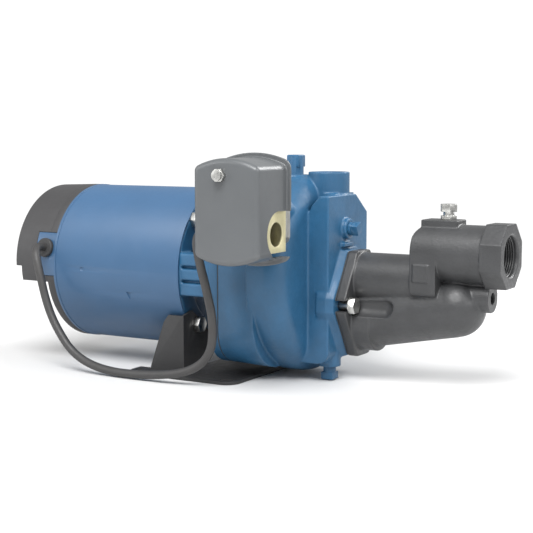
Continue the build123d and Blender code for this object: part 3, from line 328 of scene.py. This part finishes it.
class Workshop:
    """Mesh work that every sub-assembly shares; its limits are in metres and degrees."""

    WELD_REACH = 0.000004
    SLIVER_LENGTH = 0.000002
    FLAT_ANGLE = 0.8
    EDGE_ANGLE = 40.0
    SOFTENING = 0.5

    def __init__(self, frame: dict[str, Any], palette: Palette) -> None:
        """Keep the frame and the finishes.

        Args:
            palette: The finishes.
        """
        self.frame = frame
        self.palette = palette
        groups = frame["record"]["behaviour"]["bodies"]
        self.body_of = {node: body for body, nodes in groups.items() for node in nodes}
        self.slot_of = {row["node"]: row["material_slot"]
                        for row in frame["record"]["subparts"]}

    def dress(self, node: str, finish: str) -> None:
        """Give a CAD node its finish.

        Args:
            node: Name of the CAD node.
            finish: Name of the finish.
        """
        piece = self.frame["nodes"][node]
        piece.data.materials.clear()
        piece.data.materials.append(self.palette.get(finish))
        LOG.info("dressed %s in %s", node, finish)

    def copy_of(self, node: str, name: str) -> bpy.types.Object:
        """Copy a CAD node as a clean editable mesh.

        Args:
            node: Name of the CAD node.
            name: Name of the new piece.

        Returns:
            The new piece, with its doubles merged.
        """
        mesh = self.frame["nodes"][node].data.copy()
        mesh.name = name
        piece = bpy.data.objects.new(name, mesh)
        bpy.context.scene.collection.objects.link(piece)
        work = bmesh.new()
        work.from_mesh(mesh)
        bmesh.ops.remove_doubles(work, verts=work.verts, dist=self.WELD_REACH)
        bmesh.ops.dissolve_degenerate(work, edges=work.edges, dist=self.SLIVER_LENGTH)
        work.to_mesh(mesh)
        work.free()
        return piece

    def bake(self, piece: bpy.types.Object) -> bpy.types.Object:
        """Turn a piece with live modifiers into a plain mesh.

        Args:
            piece: Piece with modifiers.

        Returns:
            The same piece with its final mesh.
        """
        graph = bpy.context.evaluated_depsgraph_get()
        final = bpy.data.meshes.new_from_object(piece.evaluated_get(graph))
        piece.modifiers.clear()
        old = piece.data
        piece.data = final
        final.name = piece.name
        bpy.data.meshes.remove(old)
        return piece

    def place(self, piece: bpy.types.Object, node: str, finish: str,
              crease: float = 35.0) -> bpy.types.Object:
        """Finish a piece that replaces a CAD node: material, shading and body.

        Args:
            piece: The piece.
            node: CAD node that it replaces.
            finish: Name of the finish.
            crease: Angle in degrees over which an edge stays sharp.

        Returns:
            The piece.
        """
        piece.data.materials.clear()
        piece.data.materials.append(self.palette.get(finish))
        piece.data.shade_smooth()
        piece.data.set_sharp_from_angle(angle=math.radians(crease))
        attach(piece, self.body_of[node])
        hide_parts(node)
        LOG.info("placed %s on %s", piece.name, self.body_of[node])
        return piece

    def bevelled(self, node: str, finish: str, width: float,
                 segments: int = 2) -> bpy.types.Object:
        """Replace a CAD node by a copy with its edges broken.

        Args:
            node: CAD node.
            finish: Name of the finish.
            width: Bevel width in millimetres.
            segments: Bevel segments.

        Returns:
            The new piece.
        """
        piece = self.copy_of(node, f"{node}_skin")
        self.flatten(piece)
        bevel = piece.modifiers.new("edge", "BEVEL")
        bevel.width = width * MM
        bevel.segments = segments
        bevel.limit_method = "ANGLE"
        bevel.angle_limit = math.radians(self.EDGE_ANGLE)
        bevel.use_clamp_overlap = True
        self.bake(piece)
        return self.place(piece, node, finish)

    def flatten(self, piece: bpy.types.Object) -> None:
        """Join the triangles of flat faces into polygons.

        Args:
            piece: Piece with a merged mesh.
        """
        work = bmesh.new()
        work.from_mesh(piece.data)
        bmesh.ops.dissolve_limit(work, angle_limit=math.radians(self.FLAT_ANGLE),
                                 verts=work.verts, edges=work.edges,
                                 use_dissolve_boundaries=False)
        work.to_mesh(piece.data)
        work.free()

    def cast(self, node: str, finish: str, voxel: float, rounds: int, keep: float,
             crease: float = 60.0) -> bpy.types.Object:
        """Replace a CAD node by a casting with soft inner and outer corners.

        Args:
            node: CAD node.
            finish: Name of the finish.
            voxel: Cell size in millimetres.
            rounds: Smoothing passes.
            keep: Share of the faces kept at the end.
            crease: Angle in degrees over which an edge stays sharp.

        Returns:
            The new piece.
        """
        piece = self.copy_of(node, f"{node}_casting")
        remesh = piece.modifiers.new("cells", "REMESH")
        remesh.mode = "VOXEL"
        remesh.voxel_size = voxel * MM
        remesh.use_smooth_shade = True
        smooth = piece.modifiers.new("soft", "SMOOTH")
        smooth.factor = self.SOFTENING
        smooth.iterations = rounds
        thin = piece.modifiers.new("thin", "DECIMATE")
        thin.ratio = keep
        self.bake(piece)
        LOG.info("cast %s with %d faces", node, len(piece.data.polygons))
        return self.place(piece, node, finish, crease)


@dataclass
class ThreadForm:
    """Rings of a pipe thread, laid by a Geometry Nodes tree."""

    shop: Workshop
    pitch: float = 2.2
    height: float = 0.9
    sides: int = 72
    profile_sides: int = 4

    def tree(self) -> bpy.types.NodeTree:
        """Build the tree: a ring of four-sided section repeated along Z.

        Returns:
            The node group.
        """
        group = bpy.data.node_groups.new("thread_rings", "GeometryNodeTree")
        face = group.interface
        for name, kind in (("Radius", "NodeSocketFloat"), ("Pitch", "NodeSocketFloat"),
                           ("Height", "NodeSocketFloat"), ("Count", "NodeSocketInt"),
                           ("Finish", "NodeSocketMaterial")):
            face.new_socket(name, in_out="INPUT", socket_type=kind)
        face.new_socket("Geometry", in_out="OUTPUT", socket_type="NodeSocketGeometry")
        nodes, links = group.nodes, group.links
        source = nodes.new("NodeGroupInput")
        ring = nodes.new("GeometryNodeCurvePrimitiveCircle")
        ring.inputs["Resolution"].default_value = self.sides
        links.new(source.outputs["Radius"], ring.inputs["Radius"])
        profile = nodes.new("GeometryNodeCurvePrimitiveCircle")
        profile.inputs["Resolution"].default_value = self.profile_sides
        links.new(source.outputs["Height"], profile.inputs["Radius"])
        sweep = nodes.new("GeometryNodeCurveToMesh")
        links.new(ring.outputs["Curve"], sweep.inputs["Curve"])
        links.new(profile.outputs["Curve"], sweep.inputs["Profile Curve"])
        step = nodes.new("ShaderNodeCombineXYZ")
        links.new(source.outputs["Pitch"], step.inputs["Z"])
        line = nodes.new("GeometryNodeMeshLine")
        links.new(source.outputs["Count"], line.inputs["Count"])
        links.new(step.outputs["Vector"], line.inputs["Offset"])
        lay = nodes.new("GeometryNodeInstanceOnPoints")
        links.new(line.outputs["Mesh"], lay.inputs["Points"])
        links.new(sweep.outputs["Mesh"], lay.inputs["Instance"])
        real = nodes.new("GeometryNodeRealizeInstances")
        links.new(lay.outputs["Instances"], real.inputs["Geometry"])
        paint = nodes.new("GeometryNodeSetMaterial")
        links.new(real.outputs["Geometry"], paint.inputs["Geometry"])
        links.new(source.outputs["Finish"], paint.inputs["Material"])
        sink = nodes.new("NodeGroupOutput")
        links.new(paint.outputs["Geometry"], sink.inputs["Geometry"])
        return group

    def rings(self, name: str, node: str, finish: str, base: Point, turn: Matrix,
              radius: float, count: int) -> bpy.types.Object:
        """Lay the rings of one port.

        Args:
            name: Name of the piece.
            node: CAD node that the port belongs to.
            finish: Name of the finish.
            base: First ring's centre in millimetres.
            turn: Rotation from Z to the port's axis.
            radius: Ring radius in millimetres.
            count: Number of rings.

        Returns:
            The new piece.
        """
        group = bpy.data.node_groups.get("thread_rings") or self.tree()
        piece = bpy.data.objects.new(name, bpy.data.meshes.new(name))
        bpy.context.scene.collection.objects.link(piece)
        modifier = piece.modifiers.new("thread", "NODES")
        modifier.node_group = group
        values = {"Radius": radius * MM, "Pitch": self.pitch * MM, "Height": self.height * MM,
                  "Count": count, "Finish": self.shop.palette.get(finish)}
        for item in group.interface.items_tree:
            if item.in_out == "INPUT":
                modifier[item.identifier] = values[item.name]
        self.shop.bake(piece)
        piece.data.transform(Matrix.Translation(Vector(base) * MM) @ turn)
        piece.data.shade_flat()
        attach(piece, self.shop.body_of[node])
        LOG.info("threaded %s", name)
        return piece


@dataclass
class Motor:
    """Motor with its shell, end bells, canopy, insides and lead."""

    shop: Workshop
    cord_diameter: float = 8.4
    route: tuple[Point, ...] = (
        (-176.5, -82.3, 120.9), (-176.5, -91.5, 123.1), (-173.2, -100.0, 120.2),
        (-167.5, -106.0, 112.5), (-161.5, -108.0, 95.0), (-152.0, -109.5, 66.0),
        (-139.0, -111.0, 43.0), (-115.0, -113.0, 16.5), (-75.0, -115.5, 4.6),
        (-20.0, -116.5, 5.6), (26.0, -116.0, 12.5), (51.0, -115.0, 31.0),
        (53.5, -114.0, 63.0), (45.0, -114.0, 96.0), (38.5, -116.0, 122.0),
        (39.0, -122.0, 142.0), (50.0, -127.0, 150.0), (65.0, -127.0, 150.0),
    )
    cord_length: float = 0.4534
    cord_round: int = 6
    cord_steps: int = 16
    cord_order: int = 3

    def build(self) -> None:
        """Make and dress every motor piece."""
        self.shop.bevelled("motor_shell", "blue_sheet_paint", width=0.35)
        self.shop.bevelled("rear_canopy", "charcoal_paint", width=0.8, segments=3)
        self.shop.bevelled("rear_end_bell", "charcoal_paint", width=0.5)
        self.shop.bevelled("front_end_bell", "blue_cast_paint", width=0.5)
        self.shop.bevelled("canopy_screws", "zinc_plate", width=0.25)
        self.shop.bevelled("through_bolts", "zinc_plate", width=0.25)
        for node, finish in (
                ("stator_core", "stacked_steel"), ("stator_windings", "copper_wire"),
                ("rotor_core", "stacked_steel"), ("motor_shaft", "turned_steel"),
                ("rear_bearing", "turned_steel"), ("front_bearing", "turned_steel"),
                ("cooling_fan", "moulded_plastic"), ("governor", "zinc_plate"),
                ("starting_switch", "moulded_plastic"), ("start_capacitor", "moulded_plastic"),
                ("capacitor_strap", "zinc_plate"), ("terminal_board", "moulded_plastic"),
                ("cord_grommet", "black_rubber"), ("slinger", "black_rubber")):
            self.shop.dress(node, finish)
        self.lead()

    def lead(self) -> None:
        """Lay the motor lead as one smooth cord."""
        curve = bpy.data.curves.new("motor_lead", "CURVE")
        curve.dimensions = "3D"
        curve.bevel_depth = self.cord_diameter / 2 * MM
        curve.bevel_resolution = self.cord_round
        curve.resolution_u = self.cord_steps
        curve.use_fill_caps = True
        spline = curve.splines.new("NURBS")
        spline.points.add(len(self.route) - 1)
        for point, place in zip(spline.points, self.route):
            point.co = (*(part * MM for part in place), 1.0)
        spline.order_u = self.cord_order
        spline.use_endpoint_u = True
        spline.use_smooth = True
        lead = bpy.data.objects.new("motor_lead", curve)
        bpy.context.scene.collection.objects.link(lead)
        curve.materials.append(self.shop.palette.get("cord_jacket"))
        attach(lead, "base")
        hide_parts("motor_cord")
        LOG.info("laid the motor lead")


@dataclass
class FootAndAdapter:
    """Steel foot and the cast adapter with their bolts."""

    shop: Workshop

    def build(self) -> None:
        """Make and dress the foot and the adapter."""
        self.shop.bevelled("foot_bracket", "bracket_paint", width=0.5, segments=3)
        self.shop.cast("motor_adapter", "blue_cast_paint", voxel=1.1, rounds=2, keep=0.5)
        self.shop.bevelled("adapter_bolts", "zinc_plate", width=0.4)
        self.shop.bevelled("body_bolts", "zinc_plate", width=0.4)


@dataclass
class WetEnd:
    """Pump body, its plugs and everything inside it."""

    shop: Workshop
    threads: ThreadForm
    first_ring: Point = (116.0, 0.0, 182.5)
    ring_radius: float = 15.0
    ring_count: int = 9

    def build(self) -> None:
        """Make and dress the wet end."""
        self.shop.cast("pump_body", "blue_cast_paint", voxel=1.0, rounds=2, keep=0.3)
        for plug in ("priming_plug", "drain_plug", "gauge_plug"):
            self.shop.bevelled(plug, "blue_cast_paint", width=0.7, segments=3)
        self.threads.rings("discharge_thread", "pump_body", "blue_cast_paint",
                           self.first_ring, Matrix.Identity(4), self.ring_radius,
                           self.ring_count)
        for node, finish in (
                ("seal_seat", "glazed_ceramic"), ("seal_head", "black_rubber"),
                ("seal_spring", "turned_steel"), ("impeller", "moulded_plastic"),
                ("diffuser", "moulded_plastic"), ("diffuser_screws", "turned_steel"),
                ("body_gasket", "pressed_fibre"), ("venturi", "moulded_plastic"),
                ("nozzle", "turned_brass")):
            self.shop.dress(node, finish)


@dataclass
class Jet:
    """Cast iron jet with its gasket, bolts, vent plug and port threads."""

    shop: Workshop
    threads: ThreadForm
    first_ring: Point = (281.0, 0.0, 127.9)
    ring_radius: float = 19.2
    ring_count: int = 9

    def build(self) -> None:
        """Make and dress the jet."""
        self.shop.cast("jet_body", "black_cast_paint", voxel=0.8, rounds=2, keep=0.45)
        self.shop.dress("jet_gasket", "pressed_fibre")
        self.shop.bevelled("jet_bolts", "zinc_plate", width=0.5)
        self.shop.bevelled("vent_plug", "zinc_plate", width=0.5)
        along_x = Matrix.Rotation(math.radians(90), 4, "Y")
        self.threads.rings("suction_thread", "jet_body", "black_cast_paint",
                           self.first_ring, along_x, self.ring_radius, self.ring_count)


@dataclass
class PressureSwitch:
    """Pressure switch with its cover, frame, spring and contacts."""

    shop: Workshop

    def build(self) -> None:
        """Make and dress the pressure switch."""
        self.shop.cast("switch_cover", "grey_cover_paint", voxel=0.55, rounds=1, keep=0.4,
                       crease=50.0)
        self.shop.bevelled("cover_nut", "zinc_plate", width=0.5, segments=3)
        self.shop.bevelled("switch_frame", "yellow_zinc", width=0.25)
        self.shop.bevelled("cord_connector", "zinc_plate", width=0.5, segments=3)
        self.shop.bevelled("terminal_block", "moulded_plastic", width=0.4)
        for node, finish in (
                ("diaphragm_housing", "zinc_plate"), ("diaphragm", "black_rubber"),
                ("housing_screws", "zinc_plate"), ("switch_nipple", "zinc_plate"),
                ("plunger", "moulded_plastic"), ("switch_lever", "yellow_zinc"),
                ("lever_pin", "turned_steel"), ("range_stud", "zinc_plate"),
                ("main_spring", "turned_steel"), ("spring_nut", "zinc_plate"),
                ("terminal_screws", "turned_brass")):
            self.shop.dress(node, finish)


@dataclass(frozen=True)
class Lamp:
    """A round area lamp: where it stands, what it faces, its width and its watts."""

    name: str
    place: Point
    aim: Point
    width: float
    power: float

    def build(self) -> None:
        """Hang the lamp."""
        light = bpy.data.lights.new(self.name, "AREA")
        light.shape = "DISK"
        light.size = self.width
        light.energy = self.power
        holder = bpy.data.objects.new(self.name, light)
        holder.location = self.place
        direction = Vector(self.aim) - Vector(self.place)
        holder.rotation_euler = direction.to_track_quat("-Z", "Y").to_euler()
        bpy.context.scene.collection.objects.link(holder)


@dataclass
class Studio:
    """Floor, lights and camera, in metres and degrees."""

    camera_place: Point = (0.67155, -1.0824, 0.2404)
    tilt: float = 83.821
    pan: float = 30.066
    lens: float = 83.37
    sensor: float = 36.0
    floor_size: float = 1.8
    # Floor colour: painted shade near the pump, fading to painted light far away where the lamps
    # fall off.
    floor_painted_shade_fade: tuple[float, float] = (0.45, 0.95)
    floor_near_painted_shade: Colour = (0.66, 0.66, 0.66)
    floor_far_painted_light: Colour = (0.97, 0.97, 0.97)
    floor_rough: tuple[float, float] = (0.55, 0.65)
    floor_mottle: float = 12.0
    sky_on_pump: float = 0.5
    sky_behind: float = 1.05
    lamps: tuple[Lamp, ...] = (
        Lamp("key", (0.35, -1.3, 1.9), (0.05, 0.0, 0.1), width=1.5, power=70.0),
        Lamp("fill", (-1.6, -1.4, 0.9), (-0.05, 0.0, 0.1), width=1.6, power=14.0),
        Lamp("rim", (0.9, 1.4, 1.3), (0.0, 0.0, 0.1), width=1.2, power=30.0),
        Lamp("side", (1.7, -0.3, 1.1), (0.1, 0.0, 0.1), width=1.0, power=14.0),
    )

    def build(self) -> None:
        """Make the floor, lights and camera."""
        self.floor()
        self.sky()
        for lamp in self.lamps:
            lamp.build()
        self.camera()

    def camera(self) -> None:
        """Place the camera."""
        lens = bpy.data.cameras.new("view")
        lens.lens = self.lens
        lens.sensor_width = self.sensor
        camera = bpy.data.objects.new("view", lens)
        camera.location = self.camera_place
        camera.rotation_euler = (math.radians(self.tilt), 0.0, math.radians(self.pan))
        bpy.context.scene.collection.objects.link(camera)
        bpy.context.scene.camera = camera

    def floor(self) -> None:
        """Make the pale floor."""
        mesh = bpy.data.meshes.new("floor")
        half = self.floor_size / 2
        mesh.from_pydata([(-half, -half, 0), (half, -half, 0), (half, half, 0),
                          (-half, half, 0)], [], [(0, 1, 2, 3)])
        floor = bpy.data.objects.new("floor", mesh)
        bpy.context.scene.collection.objects.link(floor)
        mesh.materials.append(self.floor_paint())

    def floor_paint(self) -> bpy.types.Material:
        """Make the floor's pale paint, darker near the pump as painted shade and lighter far away
        as painted light where the lamps fall off.

        Returns:
            The new material.
        """
        board = NodeBoard("studio_floor")
        place = board.add("ShaderNodeTexCoord").outputs["Object"]
        reach = board.add("ShaderNodeVectorMath", operation="LENGTH")
        board.link(place, reach.inputs[0])
        # Painted shade near the pump fades to painted light on the far floor.
        away = board.spread(reach.outputs["Value"], 0.0, 1.0, *self.floor_painted_shade_fade)
        tone = board.blend(away, self.floor_near_painted_shade, self.floor_far_painted_light)
        shader = board.add("ShaderNodeBsdfPrincipled")
        board.link(tone, shader.inputs["Base Color"])
        mottle = board.noise(place, self.floor_mottle)
        board.link(board.spread(mottle, *self.floor_rough), shader.inputs["Roughness"])
        out = board.add("ShaderNodeOutputMaterial")
        board.link(shader.outputs["BSDF"], out.inputs["Surface"])
        return board.material

    def sky(self) -> None:
        """Make the plain white surroundings, brighter behind the pump than on it."""
        world = bpy.data.worlds.new("studio")
        bpy.context.scene.world = world
        world.use_nodes = True
        tree = world.node_tree
        back = tree.nodes["Background"]
        back.inputs["Color"].default_value = (1.0, 1.0, 1.0, 1.0)
        ray = tree.nodes.new("ShaderNodeLightPath")
        level = tree.nodes.new("ShaderNodeMapRange")
        level.inputs["To Min"].default_value = self.sky_on_pump
        level.inputs["To Max"].default_value = self.sky_behind
        tree.links.new(ray.outputs["Is Camera Ray"], level.inputs["Value"])
        tree.links.new(level.outputs["Result"], back.inputs["Strength"])
        bpy.context.scene.view_settings.view_transform = "Standard"


def main() -> None:
    """Build the looks around the frame."""
    logging.basicConfig(level=logging.INFO, format="%(name)s: %(message)s")
    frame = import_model()
    shop = Workshop(frame, Palette())
    threads = ThreadForm(shop)
    Motor(shop).build()
    FootAndAdapter(shop).build()
    WetEnd(shop, threads).build()
    Jet(shop, threads).build()
    PressureSwitch(shop).build()
    Studio().build()


if __name__ == "__main__":
    main()
